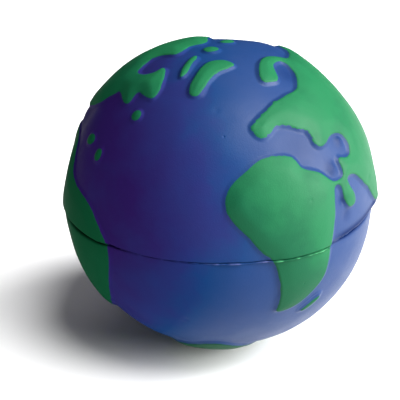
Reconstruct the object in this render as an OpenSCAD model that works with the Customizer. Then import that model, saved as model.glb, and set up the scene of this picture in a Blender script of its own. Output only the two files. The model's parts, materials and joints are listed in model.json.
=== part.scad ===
// Globe stress ball: a foam core in a blue ocean skin of two moulded halves,
// with raised green land pads, standing on a small flat at the south pole.
// Millimetres, +Z up along the pole axis, origin at the centre of the resting flat.
// The meridian of longitude 0 faces -Y and east runs towards +X.

/* [Ball] */
// Diameter over the raised land
ball_d = 70; // [50:1:80]
// Height of the land above the ocean
relief_h = 0.9; // [0.6:0.1:1.4]
// Thickness of the ocean skin
skin_t = 0.65; // [0.4:0.05:1.2]
// Radius of the flat that the ball rests on
foot_r = 7; // [6:0.5:11]

/* [Parting line] */
// Height of the trimmed flash ring
flash_h = 0.2; // [0.1:0.05:0.4]
// How far the flash stands proud of the ocean
flash_out = 0.15; // [0.05:0.05:0.3]
// Half the width of the groove where land meets the parting line
land_gap = 0.3; // [0.2:0.05:0.6]

/* [Detail] */
// Segments that round off each stretch between two outline points
curve_steps = 3; // [2:1:4]

/* [Hidden] */

$fn = 120;

land_r = ball_d / 2;
ocean_r = land_r - relief_h;
core_r = ocean_r - skin_t;
centre_z = sqrt(land_r * land_r - foot_r * foot_r);
slip = 0.03;          // clearance that lets the upper half move
plane_k = 1.1;        // distance of an outline's flat plane from the centre, in land radii

blue = [0.16, 0.22, 0.55];
green = [0.18, 0.56, 0.36];
foam = [0.86, 0.84, 0.76];

// ---- Land outlines: [longitude, latitude] in degrees, in order round each coast ----

AMERICAS = [
  // east coast, southwards end to the Guianas
  [-68, -55], [-67, -50], [-65, -43.5], [-60.5, -38.5], [-54.5, -33.5], [-49.2, -28],
  [-45.5, -23], [-43, -17.4], [-40.1, -10.3], [-38.8, -4.4], [-39.5, 0.9], [-42.6, 5.1],
  [-46.3, 9.5], [-50.9, 12.5], [-59.2, 14.8],
  // central strip and the east coast of the north
  [-65.5, 17.6], [-70.2, 23], [-76, 27], [-88, 28], [-102, 29.5], [-106, 33], [-100, 36.5],
  [-90, 37], [-80.5, 39.8], [-72.5, 43.2], [-64.3, 48.4], [-61.4, 49.9], [-51.3, 47.2],
  [-48.1, 47.2], [-47, 48.9], [-46, 52.1], [-42, 51.6],
  [-35.6, 50.7], [-33.6, 52.1], [-33.8, 55.6], [-36.7, 60.2], [-40.5, 63.2], [-45, 63.7],
  [-47.7, 61.1], [-54.8, 58.9], [-62.7, 58.7], [-66.4, 61.4], [-69.4, 65.6], [-65.4, 69],
  [-54.2, 70.9], [-48.9, 72.3], [-49.3, 75], [-55.1, 78.3], [-54, 80], [-45, 83],
  // arctic shore and the west coast
  [-60, 86], [-110, 86.5], [-150, 83], [-166, 79], [-152, 74], [-159, 70], [-166, 66],
  [-163, 60], [-160, 56.5], [-150, 60], [-140, 59.5], [-132, 54], [-128, 47],
  [-127, 41], [-124, 35.5], [-119, 30.5], [-109, 25], [-96, 21], [-86, 17.5], [-81.5, 13],
  [-80, 9], [-80.5, 5], [-82, 1.5], [-82.5, -4], [-78.5, -12], [-73, -18],
  [-71.5, -30], [-74.5, -40], [-75, -50], [-71.5, -55]
];

GREENLAND = [
  [14.2, 67.8], [7.4, 70.1], [-1, 70.4], [-8.2, 69.2], [-12.7, 66.2], [-14.5, 62.7],
  [-15.9, 58.1], [-15.3, 54.5], [-12.7, 53.2], [-9.7, 54], [-7.7, 56.6], [-5.2, 59.6],
  [-1.2, 63.1], [5.4, 65.1], [12.6, 66.5]
];

BAFFIN = [
  [-25.1, 60.8], [-27.4, 64.5], [-27.9, 68.6], [-26.9, 72.2], [-23.9, 72.9], [-21, 71.7],
  [-21.6, 68.6], [-22, 64.5], [-22.6, 61.8]
];

EURASIA_AFRICA = [
  // arctic shore from the east to Scandinavia
  [108, 66.5], [96, 64.5], [84, 64.3], [73, 64.4], [66, 66.5], [59, 68.3], [50, 69],
  [39.5, 67.5], [33, 64.7], [28.5, 61], [28, 58], [31, 57.2], [36, 57.2], [39.5, 58],
  [42.5, 61], [46, 64], [52, 65], [59.5, 64.7], [60.5, 62],
  // west coast of Europe down to the strait
  [57, 58.2], [51.5, 55], [46, 52.5], [36.5, 51], [27.5, 49.3], [21.5, 46.5],
  [15.2, 43.4], [13.5, 41.6], [14.6, 39.4], [17.1, 38], [20, 38.7], [22.5, 40.6], [26, 41.6],
  [30, 40.7], [34, 39], [37, 38.4], [38.3, 36.2],
  // inland seas
  [38.6, 33.2], [41, 31.8], [44.5, 32.5], [48, 34], [53, 34.1], [56, 32.7],
  [57.3, 29], [55.5, 26], [52, 25.7], [48.5, 26.6], [47, 25.5], [48, 22.5],
  [46.5, 20.3], [41.5, 20.5], [37, 24], [33, 25.7], [29.5, 27.2], [27.5, 30.5],
  // north and west coast of Africa
  [22, 32], [15, 31.5], [8.9, 27.9], [4.1, 24.3], [2.1, 19.7], [2.9, 15.4],
  [6.3, 11.1], [9.8, 7.4], [12.8, 3.5], [16.3, 0.3], [18.3, -4.4], [19.8, -11.1], [20, -17.1],
  [19.5, -20.8], [22, -21.5], [27.9, -19.4], [32.9, -14.8], [36.1, -10.3], [37.2, -5.3],
  [38.1, 1.8], [39.9, 8.8], [41, 15.9], [42, 18.7],
  // Arabia, India and the far coasts
  [44.6, 18.3], [45.8, 13.8], [47.7, 10.1], [51.3, 10.2], [51.8, 13.3], [49.7, 16.8], [49.5, 19.7],
  [54.5, 19.3], [60, 14.5], [63.5, 11], [67.5, 5.5], [71, 2.2], [75.5, 2], [79, 7],
  [81.5, 15], [88, 20.5], [93, 18], [97, 11], [100.5, 4.5], [103.5, 2.5], [103.5, 7],
  [108, 11], [107.5, 18], [115, 22.5], [121, 28], [119.5, 35], [123, 39], [127, 35.5],
  [129.5, 39], [135, 44], [139, 49], [138.5, 53.5], [145, 56.5], [152, 56], [156, 51.5],
  [162, 55.5], [169, 58], [176, 60.5], [175.5, 63], [165, 63.8], [150, 62.8], [136, 61.8],
  [124, 63.2], [115, 65.6]
];

MADAGASCAR = [[37.5, -19.4], [35, -20.6], [32.2, -22.6], [30.5, -24.8], [33, -24.8], [36.4, -22.1]];

BORNEO = [[109, 1.5], [110, 4], [114, 6], [117.5, 8.5], [119.5, 6], [118, 2.5], [114, 1.5]];

PHILIPPINES = [[120, 18.5], [122.5, 18.5], [123, 14.5], [126.5, 9.5], [125, 7], [122, 9], [120.5, 14]];

JAPAN = [
  [130.5, 31.5], [131.5, 34.5], [136, 37], [139.5, 40.5], [141, 45], [144.5, 44.5],
  [143, 41], [141.5, 36], [136.5, 33.5]
];

SUMATRA_JAVA = [
  [98, -1.5], [102.5, -1.5], [107, -5.5], [114, -6.8], [119, -7.8], [118, -10.2],
  [111, -9.8], [104.5, -8], [100, -5]
];

NEW_GUINEA = [
  [131, -1.5], [137, -1.8], [144, -4], [149.5, -8], [148, -10.5], [143, -9.5],
  [138.5, -8.3], [134, -4.8]
];

AUSTRALIA = [
  [114, -22.5], [121.5, -18.5], [127, -14.2], [132.5, -12.2], [136.5, -13.5],
  [138.5, -17.5], [141.5, -15.5], [143, -12], [146.5, -18], [151.5, -24], [153, -31],
  [149.5, -38], [143, -39], [137.5, -35.5], [131, -32], [124, -33.5], [117, -35.5],
  [115, -30]
];

NEW_ZEALAND = [
  [167.5, -46.5], [170, -42.5], [174, -39.5], [174, -35.5], [177.5, -37.5],
  [175.5, -41.5], [171.5, -45.5]
];

ANTARCTICA = [
  [-42, -60], [-31, -56], [-24, -51.3], [-16, -49], [-7.5, -44.3], [0, -43.3], [6, -46.6],
  [10.5, -50], [16, -54], [25, -59.5], [38, -62.5], [55, -64.5], [80, -65], [105, -64],
  [130, -64.5], [155, -67], [180, -72], [205, -72.5], [235, -71], [262, -70], [283, -68],
  [296, -61], [304, -63], [309, -69], [317, -66]
];

// Middle of each land mass, towards which its side walls open: [longitude, latitude]
AMERICAS_MID = [-85, 12];
GREENLAND_MID = [-2, 62];
BAFFIN_MID = [-22, 67];
EURASIA_AFRICA_MID = [60, 35];
MADAGASCAR_MID = [34, -22];
BORNEO_MID = [114, 4];
PHILIPPINES_MID = [123, 13];
JAPAN_MID = [138, 39];
SUMATRA_JAVA_MID = [108, -6];
NEW_GUINEA_MID = [140, -5];
AUSTRALIA_MID = [134, -26];
NEW_ZEALAND_MID = [172, -41];
ANTARCTICA_MID = [0, -90];

// Small round islands: middle, half width east-west, half width north-south, turn, in degrees
ELLESMERE = [[-10.5, 78.7], 2.6, 2.4, 0];
SVALBARD = [[60, 86], 2.7, 2.1, -24];
NEWFOUNDLAND = [[-38.5, 44.1], 1.8, 1.9, 0];
CUBA = [[-59.7, 31.5], 2.7, 1.9, 15];
HISPANIOLA = [[-50.3, 28.2], 1.7, 2.2, -15];
oval_points = 16;

// ---- Points on the sphere ----

// Unit vector of a longitude and latitude, and the unit vector that points east there
function ray(p) = [cos(p[1]) * sin(p[0]), -cos(p[1]) * cos(p[0]), sin(p[1])];
function east(p) = [cos(p[0]), sin(p[0]), 0];

// Point of a smooth curve between b and c, with neighbours a and d, for u from 0 to 1
function curve_point(a, b, c, d, u) =
  b + (c - a) * u / 2
    + (2 * a - 5 * b + 4 * c - d) * u * u / 2
    + (3 * b - a - 3 * c + d) * u * u * u / 2;

// Closed smooth outline of rays through all the points of a coast
function coast_rays(coast) =
  let(r = [for (p = coast) ray(p)], n = len(r))
  [for (i = [0 : n - 1], k = [0 : curve_steps - 1])
    curve_point(r[(i + n - 1) % n], r[i], r[(i + 1) % n], r[(i + 2) % n], k / curve_steps)];

// Closed outline of rays round an oval island
function oval_rays(isle) =
  let(
    m = ray(isle[0]),
    e = east(isle[0]),
    n = cross(m, e),
    along = e * cos(isle[3]) + n * sin(isle[3]),
    across = n * cos(isle[3]) - e * sin(isle[3])
  )
  [for (k = [0 : oval_points - 1])
    let(t = 360 * k / oval_points)
    m + along * tan(isle[1]) * cos(t) + across * tan(isle[2]) * sin(t)];

// ---- Building blocks ----

// Ball of a radius, round the ball's centre, with its resting flat at a height
module ball(r, flat_z) {
  intersection() {
    translate([0, 0, centre_z]) sphere(r = r);
    translate([-ball_d, -ball_d, flat_z]) cube([2 * ball_d, 2 * ball_d, 2 * ball_d]);
  }
}

// Everything above (side = 1) or below (side = -1) a height
module half_space(z, side) {
  translate([-ball_d, -ball_d, side > 0 ? z : z - 2 * ball_d])
    cube([2 * ball_d, 2 * ball_d, 2 * ball_d]);
}

// Cone with its tip at the ball's centre and its sides through the rays of an outline
module cone(rays, mid) {
  m = ray(mid);
  n = len(rays);
  rim = [for (r = rays) r * (plane_k * land_r / (r * m))];
  translate([0, 0, centre_z])
    polyhedron(
      points = concat([[0, 0, 0]], rim),
      faces = concat(
        [for (i = [0 : n - 1]) [0, (i + 1) % n + 1, i + 1]],
        [[for (i = [0 : n - 1]) i + 1]]
      )
    );
}

// Layer between the ocean and the top of the land
module land_layer() {
  difference() {
    ball(land_r, 0);
    ball(ocean_r, relief_h);
  }
}

// Raised land inside an outline
module land(rays, mid) {
  color(green) intersection() {
    land_layer();
    cone(rays, mid);
  }
}

// The same, cut off at the parting line
module land_on_side(rays, mid, side) {
  color(green) intersection() {
    land_layer();
    cone(rays, mid);
    half_space(centre_z + side * land_gap, side);
  }
}

module island(isle) {
  land(oval_rays(isle), isle[0]);
}

// ---- Parts ----

// Soft foam that fills the ball
module foam_core() {
  color(foam) ball(core_r - slip, relief_h + skin_t);
}

// One moulded half of the ocean skin, from the parting line to its pole
module ocean_skin(side) {
  color(blue) difference() {
    intersection() {
      ball(ocean_r, relief_h);
      half_space(centre_z + side * (flash_h / 2 + slip), side);
    }
    ball(core_r, relief_h + skin_t);
  }
}

// Thin ring of trimmed flash where the two mould halves met
module parting_line_flash() {
  color(blue) translate([0, 0, centre_z - flash_h / 2])
    difference() {
      cylinder(r = ocean_r + flash_out, h = flash_h);
      translate([0, 0, -1]) cylinder(r = core_r, h = flash_h + 2);
    }
}

module ocean_skin_north() { ocean_skin(1); }
module ocean_skin_south() { ocean_skin(-1); }
module americas_land_north() { land_on_side(coast_rays(AMERICAS), AMERICAS_MID, 1); }
module south_america_land_south() { land_on_side(coast_rays(AMERICAS), AMERICAS_MID, -1); }
module greenland_land() { land(coast_rays(GREENLAND), GREENLAND_MID); }
module baffin_island_land() { land(coast_rays(BAFFIN), BAFFIN_MID); }
module ellesmere_island_land() { island(ELLESMERE); }
module svalbard_island_land() { island(SVALBARD); }
module newfoundland_island_land() { island(NEWFOUNDLAND); }
module cuba_island_land() { island(CUBA); }
module hispaniola_island_land() { island(HISPANIOLA); }
module eurasia_africa_land_north() {
  land_on_side(coast_rays(EURASIA_AFRICA), EURASIA_AFRICA_MID, 1);
}
module africa_land_south() {
  land_on_side(coast_rays(EURASIA_AFRICA), EURASIA_AFRICA_MID, -1);
}
module madagascar_land() { land(coast_rays(MADAGASCAR), MADAGASCAR_MID); }
module borneo_land() { land(coast_rays(BORNEO), BORNEO_MID); }
module philippines_land() { land(coast_rays(PHILIPPINES), PHILIPPINES_MID); }
module japan_land() { land(coast_rays(JAPAN), JAPAN_MID); }
module sumatra_java_land() { land(coast_rays(SUMATRA_JAVA), SUMATRA_JAVA_MID); }
module new_guinea_land() { land(coast_rays(NEW_GUINEA), NEW_GUINEA_MID); }
module australia_land() { land(coast_rays(AUSTRALIA), AUSTRALIA_MID); }
module new_zealand_land() { land(coast_rays(NEW_ZEALAND), NEW_ZEALAND_MID); }
module antarctica_land() { land(coast_rays(ANTARCTICA), ANTARCTICA_MID); }

foam_core();
ocean_skin_north();
ocean_skin_south();
parting_line_flash();
americas_land_north();
south_america_land_south();
greenland_land();
baffin_island_land();
ellesmere_island_land();
svalbard_island_land();
newfoundland_island_land();
cuba_island_land();
hispaniola_island_land();
eurasia_africa_land_north();
africa_land_south();
madagascar_land();
borneo_land();
philippines_land();
japan_land();
sumatra_java_land();
new_guinea_land();
australia_land();
new_zealand_land();
antarctica_land();
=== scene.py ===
"""Globe stress ball: the looks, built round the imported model.

Every point of the ball is a direction from its centre. Its radius follows from how far it lies
from the nearest coast and from the parting line, so that the blue skin, the raised land and the
green coats are one relief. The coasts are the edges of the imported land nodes.
Lengths are in metres. The upper half is the part above the parting line.
"""

import json
import math

import bmesh
import bpy
import numpy as np
from mathutils import Matrix, Vector
from mathutils.kdtree import KDTree


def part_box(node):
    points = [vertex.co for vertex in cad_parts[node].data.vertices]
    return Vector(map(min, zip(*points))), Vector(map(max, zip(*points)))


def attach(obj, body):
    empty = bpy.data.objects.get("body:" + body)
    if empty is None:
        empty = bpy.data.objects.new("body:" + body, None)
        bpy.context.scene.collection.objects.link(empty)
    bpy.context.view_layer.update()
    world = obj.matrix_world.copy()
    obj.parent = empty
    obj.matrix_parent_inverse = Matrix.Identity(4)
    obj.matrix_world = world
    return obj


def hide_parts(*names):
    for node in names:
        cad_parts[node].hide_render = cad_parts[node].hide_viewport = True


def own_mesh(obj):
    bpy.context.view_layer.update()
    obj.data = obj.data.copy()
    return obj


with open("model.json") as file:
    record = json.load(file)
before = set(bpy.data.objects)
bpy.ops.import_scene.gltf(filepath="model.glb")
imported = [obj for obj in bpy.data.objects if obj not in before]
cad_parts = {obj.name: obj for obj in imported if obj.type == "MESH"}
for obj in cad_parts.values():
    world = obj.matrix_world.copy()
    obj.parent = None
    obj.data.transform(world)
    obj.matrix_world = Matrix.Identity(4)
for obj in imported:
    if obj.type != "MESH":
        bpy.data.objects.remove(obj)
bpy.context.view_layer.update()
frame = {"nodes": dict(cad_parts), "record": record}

MM = 0.001

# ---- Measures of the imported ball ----

UPPER, LOWER = "upper_half", "lower_half"


def node_points(node):
    """A node's vertices, one row each."""
    mesh = frame["nodes"][node].data
    points = np.zeros(len(mesh.vertices) * 3, np.float32)
    mesh.vertices.foreach_get("co", points)
    return points.reshape(-1, 3).astype(float)


CENTRE_Z = (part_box("parting_line_flash")[0].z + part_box("parting_line_flash")[1].z) / 2
CENTRE = np.array([0, 0, CENTRE_Z])


def radii(node):
    return np.linalg.norm(node_points(node) - CENTRE, axis=1)


LAND_R = radii("antarctica_land").max()
OCEAN_R = radii("ocean_skin_north").max()
CORE_R = radii("ocean_skin_north").min()
LAND_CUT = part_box("eurasia_africa_land_north")[0].z - CENTRE_Z
FOOT_ANGLE = math.acos(CENTRE_Z / LAND_R)

# ---- Measures of the relief, the coats and the parting line ----

STEEP_OUT = 0.85 * MM  # from the green edge out to where the land begins to rise
STEEP_WANDER = 0.25  # share of it by which that place wanders
STEEP_IN = 0.4 * MM  # from the green edge in to the end of the steep part
GENTLE_IN = 3.2 * MM  # from the green edge in to where the land is level
STEEP_SHARE = 0.55  # share of the land's height that the steep part has
LUMPY, WAVY = 0.05 * MM, 0.028 * MM  # long and short unevenness of the whole ball
SUNK = 0.03 * MM  # how much smaller the ball is to make up for it
FOOT_ROUND = 0.12 * MM  # how softly the ball bends at the edge of its foot

COAT = 0.085 * MM  # from the skin under a green coat to the coat's top
COAT_TOP, COAT_UNDER = 0.3 * COAT, 0.65 * COAT  # a coat's two faces, over and under the relief
COAT_EDGE = 0.018 * MM  # distance of both from the relief at the coat's edge
SKIN_UNDER = 0.7 * COAT  # how far under the relief the skin lies below a coat
SKIN_FADE, COAT_FADE = 0.05 * MM, 0.25 * MM  # from a coat's edge in: the skin sinks between them
EDGE_WANDER = 0.06 * MM  # how far the edge of the green paint wanders about the coast
EDGE_RAGGED, MORE_RAGGED = 0.03 * MM, 0.24 * MM  # how ragged it is, and how much more at RAGGED

SIDES = (math.radians(24), math.radians(58))  # longitudes over which front turns into side
GROOVE_DEEP = 0.6 * MM
GROOVE_WIDE = 0.15 * MM  # reach of the groove above and below its middle, in front
SIDE_WIDER = 0.24 * MM  # how much wider the groove is at the ball's sides
GROOVE_LOW = 0.3 * MM  # how much lower than the parting line the groove lies at the sides
# How open and deep the groove is: in front, how much more at the sides, and by how much it wanders
OPEN_FRONT, OPEN_SIDE, OPEN_WANDER = 0.42, 0.7, 0.3
OPEN_RANGE = (0.2, 1.3)
WIDE_LEAST, WIDE_OPEN = 0.7, 0.4  # how wide it is when shut, and how much wider as it opens
GROOVE_SHADE = 1.6  # how dark the painted shade in the groove is
UPPER_BULGE = 0.06 * MM  # how far the upper half stands out at the parting line, in front
LOWER_STEP = 0.1 * MM  # how far the lower half stands back there
SIDE_BULGE, SIDE_STEP = 0.16 * MM, 0.08 * MM  # how much more they do so at the sides
LIP_WANDER = 0.5  # share by which both wander in front
UPPER_FADE, LOWER_FADE = 2.2 * MM, 3 * MM  # over what heights they fade
LIFT_FADE = 7 * MM  # over what height the lift of the parting line fades
PART_GAP = 0.02 * MM  # from the parting plane to each half

# The mesh: edge lengths, where they are short, and how fast they grow away from there
COARSE, FINE, FINEST = 0.66 * MM, 0.22 * MM, 0.1 * MM
COAST_BAND = (-1.15 * MM, 0.6 * MM)  # distances inside the coast
SEAM_BAND, FOOT_BAND = 0.42 * MM, 0.5 * MM  # distances from the parting line and the foot's edge
MARK_EDGE, MARK_BAND = 0.5, 1.5  # length in a mark and reach of its band, in the mark's radii
GROWTH = 0.5
TOO_LONG = 1.35  # an edge is split when it is longer than this times the wanted length
BALL_LEVEL, DOME_LEVEL, SPLITS = 7, 6, 4  # divisions of the spheres, rounds of splitting
CUT_MARGIN = 0.12  # least share of an edge that a cut leaves beside a vertex


# ---- Smooth random fields and helpers ----


def unit(rows):
    return rows / np.linalg.norm(rows, axis=1, keepdims=True)


def smooth(low, high, x):
    """0 below low, 1 above high, and a smooth rise between them."""
    t = np.clip((x - low) / (high - low), 0, 1)
    return t * t * (3 - 2 * t)


def facing(longitude, latitude):
    """Direction of a longitude and latitude in degrees. Longitude 0 is the front, east is +X."""
    east, north = math.radians(longitude), math.radians(latitude)
    level = math.cos(north)
    return np.array([level * math.sin(east), -level * math.cos(east), math.sin(north)])


class Ripples:
    """A smooth random field over the ball, mostly from -1 to 1: sine waves in all directions."""

    def __init__(self, seed, wavelength, waves=36):
        rng = np.random.default_rng(seed)
        turn = unit(rng.normal(size=(waves, 3)))
        spread = rng.uniform(0.7, 1.4, (waves, 1))
        self.turn = turn * spread * (2 * math.pi / wavelength)
        self.phase = rng.uniform(0, 2 * math.pi, waves)
        self.share = 0.5 / math.sqrt(waves / 2)

    def __call__(self, directions):
        return np.sin(directions @ self.turn.T * LAND_R + self.phase).sum(1) * self.share


# Seed and wavelength of each field
lumps = Ripples(11, 24 * MM)
waviness = Ripples(12, 7 * MM)
edge_wander = Ripples(13, 2.6 * MM)
edge_ragged = Ripples(14, 0.9 * MM)
slope_wander = Ripples(15, 4.5 * MM)
seam_wander = Ripples(16, 9 * MM)
seam_nibbles = Ripples(17, 1.5 * MM)

# ---- Coasts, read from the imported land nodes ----

WELD, NEAR = 2e-6, 5e-6  # within these distances, vertices are one or lie on a face's edge
FEWEST = 24  # points of a short coast


def coast_chains(node):
    """The rim of a land node's outer face as chains of points with the land on their left.
    A chain that ends at the parting line is open. Gives (points, closed) pairs."""
    mesh = bmesh.new()
    mesh.from_mesh(frame["nodes"][node].data)
    bmesh.ops.remove_doubles(mesh, verts=mesh.verts, dist=WELD)
    centre = Vector(CENTRE)

    def outer(face):
        on_top = all((v.co - centre).length > LAND_R - NEAR for v in face.verts)
        return on_top and not all(at_cut(v) for v in face.verts)

    def at_cut(vert):
        return abs(vert.co.z - CENTRE_Z) < LAND_CUT + NEAR

    following = {}
    for face in mesh.faces:
        if not outer(face):
            continue
        for loop in face.loops:
            edge = loop.edge
            if sum(outer(f) for f in edge.link_faces) > 1 or all(at_cut(v) for v in edge.verts):
                continue
            following[loop.vert] = loop.link_loop_next.vert
    chains = []
    while following:
        starts = set(following) - set(following.values())
        first = min(starts or following, key=lambda v: v.index)
        chain, vert = [first], following.pop(first)
        while vert in following:
            chain.append(vert)
            vert = following.pop(vert)
        if vert is not first:
            chain.append(vert)
        chains.append((np.array([v.co for v in chain]), vert is first))
    mesh.free()
    return chains


def read_coasts(nodes):
    """Closed coasts, each with the land node of each half that it belongs to."""
    coasts, open_chains = [], []
    for node, body in nodes.items():
        for points, closed in coast_chains(node):
            if closed:
                coasts.append({"points": points, "nodes": {body: node}})
            else:
                open_chains.append((points, body, node))
    while open_chains:
        points, body, node = open_chains.pop(0)
        owners = {body: node}
        while True:
            gaps = [np.linalg.norm(c[0][0] - points[-1]) for c in open_chains]
            home = np.linalg.norm(points[0] - points[-1])
            if not gaps or min(gaps) > home:
                break
            more, body, node = open_chains.pop(int(np.argmin(gaps)))
            points = np.vstack([points, more])
            owners[body] = node
        coasts.append({"points": points, "nodes": owners})
    return coasts


def evened(points, step):
    """The closed loop through points, with points a step apart."""
    loop = np.vstack([points, points[:1]])
    along = np.append(0, np.cumsum(np.linalg.norm(np.diff(loop, axis=0), axis=1)))
    places = np.linspace(0, along[-1], max(FEWEST, round(along[-1] / step)), endpoint=False)
    return np.stack([np.interp(places, along, loop[:, k]) for k in range(3)], 1)


def rounded(points, step, reach):
    """The closed loop with its corners smoothed over a reach."""
    half = math.ceil(2.5 * reach / step)  # further off, the weights are next to nothing
    offsets = np.arange(-half, half + 1)
    weights = np.exp(-0.5 * (offsets * step / reach) ** 2)
    weights /= weights.sum()
    return sum(w * np.roll(points, k, axis=0) for w, k in zip(weights, offsets))


class Shore:
    """How far a direction is from the nearest coast, in metres: above 0 on land, below at sea."""

    STEP, CORNER = 0.15 * MM, 0.3 * MM  # between the points, and how far corners are rounded

    def __init__(self, coasts):
        points, inward, along, owner = [], [], [], []
        for number, coast in enumerate(coasts):
            loop = evened(coast["points"] - CENTRE, self.STEP)
            loop = unit(rounded(loop, self.STEP, self.CORNER)) * LAND_R
            tangent = unit(np.roll(loop, -1, axis=0) - np.roll(loop, 1, axis=0))
            points.append(loop)
            along.append(tangent)
            inward.append(np.cross(unit(loop), tangent))
            owner.append(np.full(len(loop), number))
        self.points, self.inward = np.vstack(points), np.vstack(inward)
        self.along, self.owner = np.vstack(along), np.concatenate(owner)
        self.tree = KDTree(len(self.points))
        for number, point in enumerate(self.points):
            self.tree.insert(point, number)
        self.tree.balance()

    def __call__(self, directions):
        """Gives each direction's distance and the number of its nearest coast."""
        places = directions * LAND_R
        nearest = np.array([self.tree.find(p)[1] for p in places])
        gap = places - self.points[nearest]
        side = (gap * self.inward[nearest]).sum(1)
        slid = np.minimum(np.abs((gap * self.along[nearest]).sum(1)), self.STEP / 2)
        length = np.sqrt(np.maximum((gap**2).sum(1) - slid**2, 0))
        return np.where(side > 0, length, -length), self.owner[nearest]


LAND_NODES = {
    node: body
    for body, nodes in frame["record"]["behaviour"]["bodies"].items()
    for node in nodes
    if "_land" in node
}
coasts = read_coasts(LAND_NODES)
shore_of = Shore(coasts)

# ---- The relief ----

# Dents, domes and pinholes of the moulding: direction, radius, depth, which a dome has below 0
FRONT_MARKS = [
    (facing(2.3, 39.5), 0.14 * MM, 0.1 * MM),
    (facing(-0.7, 48.5), 0.55 * MM, 0.05 * MM),
    (facing(17, 43), 0.7 * MM, 0.05 * MM),
    (facing(-14, -27), 0.5 * MM, 0.06 * MM),
    (facing(-37, -27), 0.9 * MM, 0.1 * MM),
    (facing(53, 31.4), 1.0 * MM, -0.35 * MM),
    (facing(43.4, 24.3), 1.1 * MM, -0.35 * MM),
    (facing(-50, -38.6), 0.6 * MM, 0.3 * MM),
    (facing(45.4, 13), 1.0 * MM, 0.3 * MM),
    (facing(46.5, 7.4), 1.2 * MM, 0.25 * MM),
]


def random_marks(count):
    """Small shallow dents, anywhere on the ball."""
    rng = np.random.default_rng(21)
    marks = []
    for direction in unit(rng.normal(size=(count, 3))):
        wide = rng.uniform(0.15, 0.8) * MM
        deep = rng.uniform(0.1, 0.45) * min(wide, 0.25 * MM)
        marks.append((direction, wide, deep))
    return marks


MARKS = FRONT_MARKS + random_marks(count=46)

# How the soft ball departs from a true sphere: middle, reach, height
OUT_OF_ROUND = [
    (facing(50, -35), 19 * MM, 0.38 * MM),
    (facing(-101, 57), 13 * MM, 0.42 * MM),
    (facing(104, 61), 6 * MM, 0.3 * MM),
    (facing(93, 42), 9 * MM, -0.22 * MM),
    (facing(116, 70), 5 * MM, 0.5 * MM),
    (facing(81, 13), 4 * MM, -0.15 * MM),
    (facing(-84, 16), 7 * MM, -0.85 * MM),
    (facing(-93, 33), 4.6 * MM, 0.85 * MM),
    (facing(-88, 31), 9 * MM, -0.32 * MM),
    (facing(-72, -9), 7 * MM, -0.3 * MM),
]

# Where the upper half bulges most over the lower half, where the groove is wider, and where the
# parting line rises above its plane: middle, reach, amount
RIGHT_BULGE = (facing(76, -2), 4.5 * MM, 1.0 * MM)
WIDE_GROOVE = (facing(44, 0), 5 * MM, 0.2 * MM)
SEAM_LIFTS = [(facing(-66, 0), 19 * MM, 0.95 * MM), (facing(92, 0), 19 * MM, 2.4 * MM)]

# Where the edge of the green paint is ragged: middle, and two distances in radii of the ball
# between which that fades
RAGGED, RAGGED_FADE = facing(29, 41), (0.1, 0.28)

# Where the blue paint is painted darker as shade: middle, reach, amount
SHADE_PATCHES = [
    (facing(34, 33.5), 5 * MM, 0.35),
    (facing(52.4, 31.4), 1.5 * MM, 0.5),
    (facing(42.8, 24.4), 1.6 * MM, 0.5),
    (facing(45.4, 13), 1.3 * MM, 0.45),
    (facing(46.5, 7.4), 1.5 * MM, 0.35),
    (facing(52, 59), 2.6 * MM, 0.45),
    (facing(-74, 20), 8 * MM, 0.4),
    (facing(-84, 32), 6 * MM, 0.5),
]

# Band of painted shade over the parting line at the right: the height of its middle, its reach
# and its amount, and the longitudes between which it starts and those between which it ends
RIGHT_SHADE_BAND = (0.85 * MM, 0.65 * MM, 0.85)
BAND_START, BAND_END = (37, 46), (100, 125)

# Where more or less of the land's height is steep: middle, reach, change of the share
STEEPER = [
    (facing(9, 24), 12 * MM, -0.45),
    (facing(36, -11), 9 * MM, 0.4),
    (facing(10, 86), 7 * MM, -0.35),
    (facing(34.4, -23.3), 4 * MM, -0.35),
    (facing(-48, 32), 16 * MM, -0.35),
]

# A bead of paint beside the coast: middle and reach of its stretch, its height, its distance
# inside the coast, which is below 0 at sea, and its reach to each side of that
BEAD = (facing(36, -12), 10 * MM, 0.18 * MM)
BEAD_AT, BEAD_WIDE = -0.75 * MM, 0.3 * MM


def longitude(directions):
    return np.arctan2(directions[:, 0], -directions[:, 1])


def far_from(directions, middle):
    return np.linalg.norm(directions - middle, axis=1) * LAND_R


def bump(directions, middle, reach, height):
    """A round hump: all of its height in the middle, about a third of it at its reach."""
    return height * np.exp(-((far_from(directions, middle) / reach) ** 2))


def bumps(directions, places):
    return sum(bump(directions, *place) for place in places)


def land_height(directions, shore):
    """Height of the land above the sea: a steep edge, and a gentle rise that an island or a
    narrow strip does not get to the end of."""
    start = -STEEP_OUT * (1 + STEEP_WANDER * slope_wander(directions))
    steep = smooth(start, STEEP_IN, shore)
    gentle = smooth(-STEEP_OUT, GENTLE_IN, shore)
    share = STEEP_SHARE + bumps(directions, STEEPER)
    land = (LAND_R - OCEAN_R) * (share * steep + (1 - share) * gentle)
    return land + bump(directions, *BEAD) * np.exp(-(((shore - BEAD_AT) / BEAD_WIDE) ** 2))


def side_share(directions):
    """0 where the parting line runs across the front, 1 at both sides of the ball."""
    return smooth(*SIDES, np.abs(longitude(directions)))


def groove(directions):
    """How deep in the groove of the parting line a place is: 0 outside, about 1 in its bottom."""
    side, wander = side_share(directions), seam_wander(directions)
    opened = np.clip(OPEN_FRONT + OPEN_SIDE * side + OPEN_WANDER * wander, *OPEN_RANGE)
    reach = GROOVE_WIDE * (WIDE_LEAST + WIDE_OPEN * opened) + SIDE_WIDER * side
    reach += bump(directions, *WIDE_GROOVE)
    above = directions[:, 2] * LAND_R + GROOVE_LOW * side
    return opened * np.exp(-((above / reach) ** 2))


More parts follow.
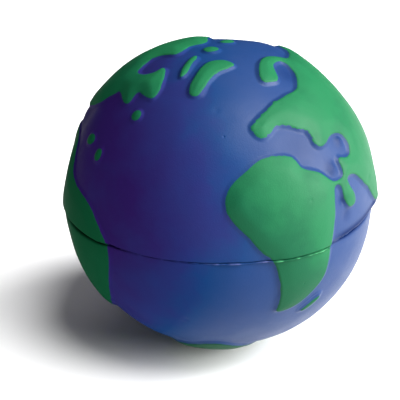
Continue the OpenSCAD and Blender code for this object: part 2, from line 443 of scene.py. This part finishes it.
def painted_shade_at(directions):
    """How dark the blue paint is painted: painted shade in the groove, in patches and in a band
    over the parting line at the right.
    """
    painted_shade_and_wear = GROOVE_SHADE * groove(directions) + bumps(directions, SHADE_PATCHES)
    middle, reach, amount = RIGHT_SHADE_BAND
    above = directions[:, 2] * LAND_R
    east = np.degrees(longitude(directions))
    band = smooth(*BAND_START, east) - smooth(*BAND_END, east)
    return painted_shade_and_wear + amount * band * np.exp(-(((above - middle) / reach) ** 2))


def relief_radius(directions, shore, half):
    """Radius of the moulded surface. half is 1 for the upper half and -1 for the lower half."""
    radius = OCEAN_R + land_height(directions, shore)
    radius += LUMPY * lumps(directions) + WAVY * waviness(directions) - SUNK
    radius += bumps(directions, OUT_OF_ROUND) - bumps(directions, MARKS)
    radius -= GROOVE_DEEP * groove(directions)
    above = directions[:, 2] * LAND_R
    side, wander = side_share(directions), LIP_WANDER * seam_wander(directions)
    if half > 0:
        bulge = UPPER_BULGE * (1 + wander) + SIDE_BULGE * side
        bulge += bump(directions, *RIGHT_BULGE)
        return radius + bulge * np.exp(-above / UPPER_FADE)
    step = LOWER_STEP * (1 - wander) + SIDE_STEP * side
    return radius - step * np.exp(above / LOWER_FADE)


def paint_edge(directions, shore):
    """Distance inside the edge of the green paint, which wanders about the coast."""
    more = 1 - smooth(*RAGGED_FADE, far_from(directions, RAGGED) / LAND_R)
    ragged = (EDGE_RAGGED + MORE_RAGGED * more) * edge_ragged(directions)
    return shore + EDGE_WANDER * edge_wander(directions) + ragged


def seam_lift(directions):
    """How far the parting line rises above its plane at the ball's sides."""
    near = np.exp(-((directions[:, 2] * LAND_R / LIFT_FADE) ** 2))
    return near * bumps(directions, SEAM_LIFTS)


def placed(directions, radius, depth):
    """Points on the ball. Below the foot they are pressed flat, depth above the ground."""
    points = CENTRE + directions * np.reshape(radius, (-1, 1))
    points[:, 2] += seam_lift(directions)
    over = points[:, 2] - depth
    points[:, 2] = depth + (over + np.sqrt(over**2 + FOOT_ROUND**2)) / 2
    return points


# ---- Triangle meshes as arrays: directions, triangles and the shore distance ----


def sphere_triangles(level):
    """Directions and triangles of an evenly divided sphere."""
    mesh = bmesh.new()
    bmesh.ops.create_icosphere(mesh, subdivisions=level, radius=1)
    directions = unit(np.array([v.co for v in mesh.verts]))
    triangles = np.array([[v.index for v in f.verts] for f in mesh.faces])
    mesh.free()
    return directions, triangles


def edges_of(triangles, count):
    """Sorted vertex pairs of the edges, and each triangle's three edges: 0-1, 1-2 and 2-0."""
    pairs = np.stack([triangles, np.roll(triangles, -1, axis=1)], 2).reshape(-1, 2)
    low, high = pairs.min(1), pairs.max(1)
    keys, back = np.unique(low * count + high, return_inverse=True)
    return np.stack([keys // count, keys % count], 1), back.reshape(-1, 3)


def turned(triangles, extra, first):
    """Each triangle's corners, and what goes with them, turned so that one corner comes first."""
    order = (first[:, None] + np.arange(3)) % 3
    return np.take_along_axis(triangles, order, 1), np.take_along_axis(extra, order, 1)


def divided(triangles, middle):
    """Splits triangles at the middles of their marked edges. middle holds the new vertex of
    each triangle's three edges, or -1."""
    marked = middle >= 0
    count = marked.sum(1)
    parts = [triangles[count == 0]]
    t, m = turned(triangles[count == 1], middle[count == 1], marked[count == 1].argmax(1))
    parts += [np.stack(p, 1) for p in ((t[:, 0], m[:, 0], t[:, 2]), (m[:, 0], t[:, 1], t[:, 2]))]
    t, m = turned(triangles[count == 2], middle[count == 2], (~marked[count == 2]).argmax(1))
    parts += [
        np.stack(p, 1)
        for p in (
            (t[:, 2], m[:, 2], m[:, 1]),
            (t[:, 0], t[:, 1], m[:, 1]),
            (t[:, 0], m[:, 1], m[:, 2]),
        )
    ]
    t, m = triangles[count == 3], middle[count == 3]
    parts += [np.stack((t[:, k], m[:, k], m[:, k - 1]), 1) for k in range(3)]
    parts.append(m)
    return np.vstack(parts)


def wanted_edge(directions, shore):
    """How long the mesh's edges may be at a place."""

    def growing(length, beyond):
        return length + GROWTH * np.maximum(beyond, 0)

    wanted = growing(FINE, np.maximum(COAST_BAND[0] - shore, shore - COAST_BAND[1]))
    above = np.abs(directions[:, 2]) * LAND_R
    wanted = np.minimum(wanted, growing(FINEST, above - SEAM_BAND))
    rim = np.abs(np.arccos(np.clip(-directions[:, 2], -1, 1)) - FOOT_ANGLE) * LAND_R
    wanted = np.minimum(wanted, growing(FINE, rim - FOOT_BAND))
    for middle, wide, _ in MARKS:
        beyond = far_from(directions, middle) - MARK_BAND * wide
        wanted = np.minimum(wanted, growing(MARK_EDGE * wide, beyond))
    return np.minimum(wanted, COARSE)


def refined_sphere():
    """The sphere's triangles, small where the relief is fine. Gives directions, triangles and
    each vertex's distance to the shore."""
    directions, triangles = sphere_triangles(BALL_LEVEL)
    shore, _ = shore_of(directions)
    for _ in range(SPLITS):
        pairs, sides = edges_of(triangles, len(directions))
        ends = directions[pairs]
        length = np.linalg.norm(ends[:, 0] - ends[:, 1], axis=1) * LAND_R
        halfway = unit(ends.sum(1))
        between = shore[pairs].mean(1)
        split = length > TOO_LONG * wanted_edge(halfway, between)
        if not split.any():
            break
        fresh = np.where(split, np.cumsum(split) - 1 + len(directions), -1)
        triangles = divided(triangles, fresh[sides])
        directions = np.vstack([directions, halfway[split]])
        shore = np.append(shore, shore_of(halfway[split])[0])
    return directions, triangles, shore


def clipped(directions, triangles, field, others, level=None):
    """The part of the triangles where field is above 0. others are values at the vertices that
    are carried to the new ones. level is the exact height of the new vertices."""
    keep = field > 0
    inside = keep[triangles]
    count = inside.sum(1)
    one, two = triangles[count == 1], triangles[count == 2]
    one, _ = turned(one, one, inside[count == 1].argmax(1))
    two, _ = turned(two, two, (~inside[count == 2]).argmax(1))
    cut = np.vstack([one[:, [0, 1]], one[:, [0, 2]], two[:, [0, 1]], two[:, [0, 2]]])
    size = len(directions)
    keys, back = np.unique(cut.min(1) * size + cut.max(1), return_inverse=True)
    a, b = keys // size, keys % size
    t = np.clip(field[a] / (field[a] - field[b]), CUT_MARGIN, 1 - CUT_MARGIN)
    fresh = directions[a] * (1 - t[:, None]) + directions[b] * t[:, None]
    if level is not None:
        fresh[:, 2] = level
    marks = np.split(back + size, np.cumsum([len(one), len(one), len(two)]))
    parts = [
        triangles[count == 3],
        np.stack([one[:, 0], marks[0], marks[1]], 1),
        np.stack([two[:, 1], two[:, 2], marks[3]], 1),
        np.stack([two[:, 1], marks[3], marks[2]], 1),
    ]
    carried = [np.append(o, o[a] * (1 - t) + o[b] * t) for o in others]
    return trimmed(np.vstack([directions, unit(fresh)]), np.vstack(parts), carried)


def halved(directions, triangles, half, others):
    """The part of the sphere that belongs to one half of the ball."""
    gap = PART_GAP / LAND_R
    field = directions[:, 2] * half - gap
    return clipped(directions, triangles, field, others, level=gap * half)


def trimmed(directions, triangles, others):
    """Leaves out the vertices that no triangle uses."""
    used, back = np.unique(triangles, return_inverse=True)
    return directions[used], back.reshape(-1, 3), [o[used] for o in others]


def rim_edges(triangles, count):
    """Directed edges that only one triangle has."""
    pairs = np.stack([triangles, np.roll(triangles, -1, axis=1)], 2).reshape(-1, 2)
    keys = pairs.min(1) * count + pairs.max(1)
    _, first, times = np.unique(keys, return_index=True, return_counts=True)
    return pairs[first[times == 1]]


def make_object(name, points, triangles, materials, face_material=None, crease=50, painted_shade_and_wear=None):
    """A mesh object of triangles, smooth shaded up to an angle of crease degrees. grime is the
    painted shade at each vertex, up to 1; it goes down to -1 where the paint is rubbed off and
    lightened as a painted highlight."""
    mesh = bpy.data.meshes.new(name)
    mesh.vertices.add(len(points))
    mesh.vertices.foreach_set("co", points.astype(np.float32).ravel())
    mesh.loops.add(triangles.size)
    mesh.loops.foreach_set("vertex_index", triangles.astype(np.int32).ravel())
    mesh.polygons.add(len(triangles))
    mesh.polygons.foreach_set("loop_start", np.arange(0, triangles.size, 3, dtype=np.int32))
    for material in materials:
        mesh.materials.append(material)
    if face_material is not None:
        mesh.polygons.foreach_set("material_index", face_material.astype(np.int32))
    if painted_shade_and_wear is not None:
        shade = mesh.attributes.new("painted_shade_and_wear", "FLOAT", "POINT")
        shade.data.foreach_set("value", np.clip(painted_shade_and_wear, -1, 1).astype(np.float32))
    mesh.update(calc_edges=True)
    mesh.validate()
    mesh.shade_smooth()
    mesh.set_sharp_from_angle(angle=math.radians(crease))
    obj = bpy.data.objects.new(name, mesh)
    bpy.context.scene.collection.objects.link(obj)
    return obj


# ---- Materials ----


class Shader:
    """A material made of nodes, with short calls for the nodes used here."""

    def __init__(self, name):
        self.material = bpy.data.materials.new(name)
        self.material.use_nodes = True
        self.tree = self.material.node_tree
        self.surface = self.tree.nodes["Principled BSDF"]
        self.place = self.tree.nodes.new("ShaderNodeTexCoord").outputs["Object"]

    def node(self, kind, **settings):
        made = self.tree.nodes.new(kind)
        for key, value in settings.items():
            if key in made.inputs:
                made.inputs[key].default_value = value
            else:
                setattr(made, key, value)
        return made

    def link(self, source, target):
        self.tree.links.new(source, target)

    def noise(self, size, detail, roughness):
        """Noise whose features are about size across, as a value from 0 to 1."""
        noise = self.node("ShaderNodeTexNoise", Scale=1 / size, Detail=detail, Roughness=roughness)
        self.link(self.place, noise.inputs["Vector"])
        return noise.outputs["Fac"]

    def ramp(self, value, stops):
        """Colour ramp over a value: (position, colour) pairs."""
        ramp = self.node("ShaderNodeValToRGB")
        elements = ramp.color_ramp.elements
        while len(elements) < len(stops):
            elements.new(0.5)
        for element, (position, colour) in zip(elements, stops):
            element.position = position
            element.color = (*colour, 1)
        self.link(value, ramp.inputs["Fac"])
        return ramp.outputs["Color"]

    def between(self, value, low, high, from_low=0.3, from_high=0.7):
        """From low to high as the value goes from from_low to from_high, and level outside."""
        span = self.node("ShaderNodeMapRange")
        for key, number in (("From Min", from_low), ("From Max", from_high), ("To Min", low)):
            span.inputs[key].default_value = number
        span.inputs["To Max"].default_value = high
        self.link(value, span.inputs["Value"])
        return span.outputs["Result"]

    def position(self):
        """The x and z of the place, in metres."""
        split = self.node("ShaderNodeSeparateXYZ")
        self.link(self.place, split.inputs["Vector"])
        return split.outputs["X"], split.outputs["Z"]

    def math(self, operation, one, other=0.0):
        step = self.node("ShaderNodeMath", operation=operation)
        for source, target in ((one, step.inputs[0]), (other, step.inputs[1])):
            if isinstance(source, float):
                target.default_value = source
            else:
                self.link(source, target)
        return step.outputs["Value"]

    def toned(self, colour, blend, amount, other):
        """The colour blended with another one by an amount."""
        mixed = self.node("ShaderNodeMix", data_type="RGBA", blend_type=blend)
        self.link(amount, mixed.inputs["Factor"])
        self.link(colour, mixed.inputs[6])
        mixed.inputs[7].default_value = (*other, 1)
        return mixed.outputs[2]

    def bump(self, layers):
        """Stacks bumps: (height value, distance in metres, strength) from coarse to fine."""
        normal = None
        for height, distance, strength in layers:
            bump = self.node("ShaderNodeBump", Distance=distance, Strength=strength)
            self.link(height, bump.inputs["Height"])
            if normal is not None:
                self.link(normal, bump.inputs["Normal"])
            normal = bump.outputs["Normal"]
        self.link(normal, self.surface.inputs["Normal"])

    def set(self, **values):
        for key, value in values.items():
            self.surface.inputs[key.replace("_", " ")].default_value = value


# Heights from which the painted light and shade and the gloss change both ways, and the x
# between which they run over the ball, from its shaded left to its lit right
PAINTED_LIGHT_LEVEL, PAINTED_LIGHT_SPAN = 9 * MM, (-16 * MM, 15 * MM)
GLOSS_LEVEL, GLOSS_SPAN, GLOSS_SLOPE = -4 * MM, (-3 * MM, 33 * MM), 0.5
# Clouds of tone and of roughness: size, and the amounts between which they run
TONE_CLOUDS, TONE_CHANGE = 9 * MM, (-0.12, 0.12)
SHEEN_CLOUDS, SHEEN_CHANGE = 5 * MM, (-0.05, 0.06)


def satin_paint(name, stops, deep, worn_and_highlit, slopes, roughness, specular):
    """Satin coat on moulded foam: fine orange peel, clouds of tone and of sheen. The stops run
    from the painted shade of the ball's left side to the painted light of its right side.
    deep is the colour of the painted shade, which also has less gloss, and the colour after it
    is that of paint rubbed off, lightened as a painted highlight. slopes are how fast the
    painted shading changes above and below its level. specular is the gloss at the left and at
    the right."""
    shader = Shader(name)
    clouds = shader.between(shader.noise(TONE_CLOUDS, detail=4, roughness=0.6), *TONE_CHANGE)
    x, z = shader.position()
    height = shader.math("SUBTRACT", z, CENTRE_Z)
    # Painted light and shade: darker towards the left, lighter towards the right, and changing
    # with height away from a level.
    over = shader.math("SUBTRACT", height, PAINTED_LIGHT_LEVEL)
    upper = shader.math("MULTIPLY", shader.math("MAXIMUM", over, 0.0), slopes[0])
    lower = shader.math("MULTIPLY", shader.math("MINIMUM", over, 0.0), slopes[1])
    away = shader.math("ADD", upper, lower)
    tone = shader.between(shader.math("ADD", x, away), 0, 1, *PAINTED_LIGHT_SPAN)
    colour = shader.ramp(shader.math("ADD", tone, clouds), stops)
    # The attribute: painted shade above 0, which darkens by deep; below 0, paint rubbed off and
    # lightened as a painted highlight.
    painted_shade_and_wear = shader.node("ShaderNodeAttribute", attribute_name="painted_shade_and_wear").outputs["Fac"]
    colour = shader.toned(colour, "MULTIPLY", painted_shade_and_wear, deep)
    wear_and_highlight = shader.math("MULTIPLY", painted_shade_and_wear, -1.0)
    colour = shader.toned(colour, "MIX", wear_and_highlight, worn_and_highlit)
    shader.link(colour, shader.surface.inputs["Base Color"])
    off = shader.math("ABSOLUTE", shader.math("SUBTRACT", height, GLOSS_LEVEL))
    side = shader.math("ADD", x, shader.math("MULTIPLY", off, GLOSS_SLOPE))
    gloss = shader.between(side, *specular, *GLOSS_SPAN)
    # Less gloss in the painted shade.
    unshaded = shader.math("SUBTRACT", 1.0, shader.math("MAXIMUM", painted_shade_and_wear, 0.0))
    gloss = shader.math("MULTIPLY", gloss, unshaded)
    shader.link(gloss, shader.surface.inputs["Specular IOR Level"])
    smoother, rougher = (roughness + change for change in SHEEN_CHANGE)
    sheen = shader.noise(SHEEN_CLOUDS, detail=5, roughness=0.65)
    rough = shader.between(sheen, smoother, rougher)
    shader.link(rough, shader.surface.inputs["Roughness"])
    orange_peel = (shader.noise(1.7 * MM, detail=3, roughness=0.5), 0.05 * MM, 0.35)
    grain = (shader.noise(0.28 * MM, detail=3, roughness=0.6), 0.03 * MM, 0.9)
    shader.bump([orange_peel, grain])
    return shader.material


def ocean_paint():
    # From left to right: painted shade on the left side to painted light on the right. deep is the
    # painted shade's colour; the next is paint rubbed off and lightened as a painted highlight.
    violet, navy = (0.018, 0.007, 0.075), (0.0125, 0.02, 0.108)
    azure, blue = (0.005, 0.032, 0.12), (0.011, 0.035, 0.122)
    return satin_paint(
        "ocean_skin",
        stops=[(0, violet), (0.5, navy), (0.72, azure), (1, blue)],
        deep=(0.2, 0.3, 0.48),
        worn_and_highlit=(0.07, 0.08, 0.2),
        slopes=(0.4, -0.56),
        roughness=0.46,
        specular=(0.004, 0.32),
    )


def land_paint():
    # From left to right: painted shade on the left side, dark, to painted light on the right,
    # light.
    dark, green, light = (0.003, 0.053, 0.021), (0.006, 0.08, 0.035), (0.01, 0.116, 0.045)
    return satin_paint(
        "land_coat",
        stops=[(0, dark), (0.8, green), (1, light)],
        deep=(0.12, 0.12, 0.14),
        worn_and_highlit=(0.05, 0.24, 0.1),
        slopes=(1.2, 0.5),
        roughness=0.5,
        specular=(0.002, 0.17),
    )


def foam():
    """Open-cell foam: cream, matt, full of small pores."""
    pore = 0.7 * MM
    shader = Shader("foam_core")
    cells = shader.node("ShaderNodeTexVoronoi", Scale=1 / pore)
    shader.link(shader.place, cells.inputs["Vector"])
    # Darker at the middle of each pore: painted shade in the pores.
    tones = [(0.05, (0.42, 0.38, 0.28)), (0.45, (0.78, 0.74, 0.62))]
    shader.link(shader.ramp(cells.outputs["Distance"], tones), shader.surface.inputs["Base Color"])
    shader.bump([(cells.outputs["Distance"], 0.3 * MM, 0.8)])
    shader.set(Roughness=0.95, Specular_IOR_Level=0.2)
    return shader.material


OCEAN, LAND, FOAM = ocean_paint(), land_paint(), foam()

# ---- Pieces ----


def soft_piece(obj, body, nodes):
    """Puts a piece on its half of the ball, hides the imported nodes that it stands for and gives
    it a mesh of its own."""
    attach(obj, body)
    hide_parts(*nodes)
    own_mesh(obj)
    return obj


def flat_ring(outer, inner, points, half):
    """Triangles between two circles of vertices in the parting plane, facing away from half."""

    def in_order(ring):
        angle = np.arctan2(points[ring, 1], points[ring, 0])
        order = np.argsort(angle)
        return ring[order], np.append(angle[order], angle[order][0] + 2 * math.pi)

    outer, outer_angle = in_order(outer)
    inner, inner_angle = in_order(inner)
    triangles, i, j = [], 0, 0
    while i < len(outer) or j < len(inner):
        a, b = outer[i % len(outer)], inner[j % len(inner)]
        step_out = j == len(inner) or i < len(outer) and outer_angle[i + 1] <= inner_angle[j + 1]
        if step_out:
            i += 1
            triangles.append((a, outer[i % len(outer)], b))
        else:
            j += 1
            triangles.append((a, inner[j % len(inner)], b))
    triangles = np.array(triangles)
    return triangles[:, ::-1] if half > 0 else triangles


def ocean_skin(ball, half, body):
    """One half of the blue skin: the relief outside, a plain dome inside."""
    directions, triangles, shore = ball
    directions, triangles, (shore,) = halved(directions, triangles, half, [shore])
    under_coat = smooth(SKIN_FADE, COAT_FADE, paint_edge(directions, shore))
    radius = relief_radius(directions, shore, half) - SKIN_UNDER * under_coat
    outside = placed(directions, radius, SKIN_UNDER)
    count = len(outside)
    outer_rim = np.unique(rim_edges(triangles, count))
    within, dome = sphere_triangles(DOME_LEVEL)
    within, dome, _ = halved(within, dome, half, [])
    inner_rim = np.unique(rim_edges(dome, len(within))) + count
    points = np.vstack([outside, placed(within, CORE_R, LAND_R - CORE_R)])
    ring = flat_ring(outer_rim, inner_rim, points, half)
    triangles = np.vstack([triangles, dome[:, ::-1] + count, ring])
    node = "ocean_skin_north" if half > 0 else "ocean_skin_south"
    # Painted shade on the outside; none on the inner dome.
    painted_shade_and_wear = np.append(painted_shade_at(directions), np.zeros(len(within)))
    name = node.replace("skin", "skin_moulded")
    skin = make_object(name, points, triangles, [OCEAN], painted_shade_and_wear=painted_shade_and_wear)
    soft_piece(skin, body, [node])


def green_coats(ball, half, body):
    """The green coat of each land mass on one half, lying on the raised land."""
    directions, triangles, shore = ball
    directions, triangles, (shore,) = halved(directions, triangles, half, [shore])
    edge = paint_edge(directions, shore)
    directions, triangles, (shore, edge) = clipped(directions, triangles, edge, [shore, edge])
    _, whose = shore_of(unit(directions[triangles].sum(1)))
    for number, coast in enumerate(coasts):
        mine = whose == number
        if body in coast["nodes"] and mine.any():
            part = trimmed(directions, triangles[mine], [shore, edge])
            green_coat(coast["nodes"][body], *part, half, body)


def green_coat(node, directions, triangles, fields, half, body):
    """A closed shell: the coat's top, its underside and the wall between them at its edge."""
    shore, edge = fields
    radius = relief_radius(directions, shore, half)
    inside = smooth(0, COAT_FADE, edge)
    top = radius + COAT_EDGE + (COAT_TOP - COAT_EDGE) * inside
    bottom = radius - COAT_EDGE - (COAT_UNDER - COAT_EDGE) * inside
    points = np.vstack([placed(directions, top, 0), placed(directions, bottom, COAT_UNDER)])
    count = len(directions)
    rim = rim_edges(triangles, count)
    a, b = rim[:, 0], rim[:, 1]
    walls = [np.stack(w, 1) for w in ((b, a, a + count), (b, a + count, b + count))]
    triangles = np.vstack([triangles, triangles[:, ::-1] + count, *walls])
    name = node.replace("_land", "_coat")
    # Painted shade where the coat crosses the groove.
    painted_shade_and_wear = np.tile(GROOVE_SHADE * groove(directions), 2)
    coat = make_object(name, points, triangles, [LAND], crease=60, painted_shade_and_wear=painted_shade_and_wear)
    soft_piece(coat, body, [node])


FLASH_STEPS = 1440  # round the ball
FLASH_THICK, THICK_NIBBLES = 0.192 * MM, 0.072 * MM  # its thickness, how much that changes
FLASH_DEEP = 0.7 * MM  # how far it reaches in under the surface
FLASH_TIP = 0.12 * MM  # length of its rounded tip
WORN_AND_HIGHLIT_AT, WORN_AND_HIGHLIT_FADE = 18, (14, 26)  # longitude where its paint is rubbed off and lightened as a painted highlight, and how far from there that fades
WEAR_AND_HIGHLIGHT, WEAR_AND_HIGHLIGHT_NIBBLES = 0.3, 1.5  # how much paint is rubbed off there and lightened as a painted highlight, and how that changes
# How far its tip stands out from the surface: everywhere, more where it is worn, less at the
# ball's sides, and the amounts by which it is nibbled and wanders
TIP_OUT, TIP_WORN, TIP_SIDE = -0.16 * MM, 0.42 * MM, 0.34 * MM
TIP_NIBBLES, TIP_WANDER = 0.16 * MM, 0.06 * MM
# How far it lies below the parting line, and the amounts by which that changes
FLASH_LOW, LOW_NIBBLES, LOW_WANDER = 0.1 * MM, 0.05 * MM, 0.04 * MM
# Its section. Out is -1 deep inside and runs from 0 to 1 over the tip. Up is in thicknesses
FLASH_PROFILE = [(-1, -0.5), (0, -0.5), (0.7, -0.38), (1, 0), (0.7, 0.38), (0, 0.5), (-1, 0.5)]


def parting_line_flash():
    """The trimmed lip of foam in the groove, nibbled and uneven, painted like what it crosses."""
    angle = np.linspace(0, 2 * math.pi, FLASH_STEPS, endpoint=False)
    directions = np.stack([np.sin(angle), -np.cos(angle), 0 * angle], 1)
    shore, _ = shore_of(directions)
    surface = OCEAN_R + land_height(directions, shore) + bumps(directions, OUT_OF_ROUND)
    turn = np.abs(np.degrees(longitude(directions)) - WORN_AND_HIGHLIT_AT)
    proud = 1 - smooth(*WORN_AND_HIGHLIT_FADE, turn)
    nibbles = np.clip(seam_nibbles(directions), -1, 1)
    wander = seam_wander(directions)
    tip = surface + TIP_OUT + TIP_WORN * proud - TIP_SIDE * side_share(directions)
    tip += TIP_NIBBLES * nibbles + TIP_WANDER * wander
    thick = FLASH_THICK + THICK_NIBBLES * nibbles
    shift = seam_lift(directions) - FLASH_LOW + LOW_NIBBLES * nibbles + LOW_WANDER * wander
    rows = []
    for out, up in FLASH_PROFILE:
        reach = tip - FLASH_TIP * (1 - out) if out >= 0 else tip - FLASH_DEEP
        row = directions * reach[:, None] + CENTRE
        row[:, 2] += shift + up * thick
        rows.append(row)
    points = np.stack(rows, 1).reshape(-1, 3)
    size = len(FLASH_PROFILE)
    here = np.arange(FLASH_STEPS)[:, None] * size
    there = (np.arange(FLASH_STEPS)[:, None] + 1) % FLASH_STEPS * size
    low, high = np.arange(size)[None], (np.arange(size)[None] + 1) % size
    corners = [here + low, there + low, there + high, here + high]
    corners = np.stack(np.broadcast_arrays(*corners), 2).reshape(-1, 4)
    triangles = np.vstack([corners[:, [0, 1, 2]], corners[:, [0, 2, 3]]])
    painted = (paint_edge(directions, shore) > 0)[corners[:, 0] // size]
    # Paint rubbed off the tip where it stands out, lightened as a painted highlight.
    wear_and_highlight = proud * np.clip(WEAR_AND_HIGHLIGHT + WEAR_AND_HIGHLIGHT_NIBBLES * nibbles, 0, 1)
    wear_and_highlight = wear_and_highlight[:, None] * (np.abs(FLASH_PROFILE)[:, 0] > 0.5)
    ring = make_object(
        "parting_line_flash_lip",
        points,
        triangles,
        [OCEAN, LAND],
        face_material=np.tile(painted, 2),
        crease=70,
        painted_shade_and_wear=-wear_and_highlight.ravel(),
    )
    soft_piece(ring, LOWER, ["parting_line_flash"])


def foam_core():
    """The soft filling: a ball with a porous face, flat over the foot."""
    gap, uneven = 0.1 * MM, 0.05 * MM
    directions, triangles = sphere_triangles(DOME_LEVEL)
    radius = CORE_R - gap + uneven * Ripples(31, 3 * MM)(directions)
    points = placed(directions, radius, LAND_R - CORE_R + gap)
    core = make_object("foam_filling", points, triangles, [FOAM])
    soft_piece(core, LOWER, ["foam_core"])


ball = refined_sphere()
for half, body in ((1, UPPER), (-1, LOWER)):
    ocean_skin(ball, half, body)
    green_coats(ball, half, body)
parting_line_flash()
foam_core()

# ---- Floor, light and camera ----

WORLD_LIGHT = 0.09
# Suns: azimuth, elevation, strength, width, and whether they show in reflections. All angles are
# in degrees
SUNS = {
    "key": (73, 24, 5.8, 40, True),
    "back": (92, 42, 2.7, 30, False),
    "sheen": (50, 62, 2.7, 26, True),
    "top": (165, 62, 0.2, 40, False),
}
# The camera: sensor and lens in mm, elevation and roll in degrees, distance from the middle of the
# ball, and how far the ball lies right of and above the picture's middle, in distances
SENSOR, LENS = 36, 60.4
ELEVATION, ROLL = 22.5, 0.6
DISTANCE = 4.5 * OCEAN_R
OFF_RIGHT, OFF_UP = 0.0277, 0.0115
CLIP = (0.005, 20)


def floor():
    size = 6.0
    mesh = bpy.data.meshes.new("floor")
    corners = [(-size, -size, 0), (size, -size, 0), (size, size, 0), (-size, size, 0)]
    mesh.from_pydata(corners, [], [(0, 1, 2, 3)])
    plane = bpy.data.objects.new("floor", mesh)
    bpy.context.scene.collection.objects.link(plane)
    shader = Shader("floor")
    shader.set(Base_Color=(0.92, 0.92, 0.92, 1), Roughness=0.9, Specular_IOR_Level=0.1)
    mesh.materials.append(shader.material)


def from_side(azimuth, elevation, distance):
    """A place round the ball: azimuth 0 is the front and 90 the right."""
    a, e = math.radians(azimuth), math.radians(elevation)
    level = math.cos(e)
    offset = Vector((math.sin(a) * level, -math.cos(a) * level, math.sin(e)))
    return Vector(CENTRE) + offset * distance


def sun(name, azimuth, elevation, strength, width, shines):
    data = bpy.data.lights.new(name, "SUN")
    data.energy, data.angle = strength, math.radians(width)
    lamp = bpy.data.objects.new(name, data)
    bpy.context.scene.collection.objects.link(lamp)
    lamp.location = from_side(azimuth, elevation, 1)
    lamp.rotation_euler = (Vector(CENTRE) - lamp.location).to_track_quat("-Z", "Y").to_euler()
    lamp.visible_glossy = shines


def lights():
    world = bpy.data.worlds.new("studio")
    world.use_nodes = True
    background = world.node_tree.nodes["Background"]
    background.inputs["Color"].default_value = (1, 1, 1, 1)
    background.inputs["Strength"].default_value = WORLD_LIGHT
    bpy.context.scene.world = world
    world.cycles_visibility.glossy = False
    for name, numbers in SUNS.items():
        sun(name, *numbers)


def camera():
    """Looks down at the ball, which lies a little right of and above the picture's middle."""
    data = bpy.data.cameras.new("camera")
    data.sensor_width, data.lens = SENSOR, LENS
    data.clip_start, data.clip_end = CLIP
    cam = bpy.data.objects.new("camera", data)
    bpy.context.scene.collection.objects.link(cam)
    bpy.context.scene.camera = cam
    place = from_side(0, ELEVATION, DISTANCE)
    ahead = (Vector(CENTRE) - place).normalized()
    right = ahead.cross(Vector((0, 0, 1))).normalized()
    up = right.cross(ahead)
    roll = Matrix.Rotation(math.radians(ROLL), 3, ahead)
    right, up = roll @ right, roll @ up
    ahead = (ahead - right * OFF_RIGHT - up * OFF_UP).normalized()
    right = ahead.cross(up).normalized()
    up = right.cross(ahead)
    turn = Matrix((right, up, -ahead)).transposed()
    cam.matrix_world = Matrix.Translation(place) @ turn.to_4x4()


floor()
lights()
camera()
bpy.context.scene.view_settings.view_transform = "Standard"
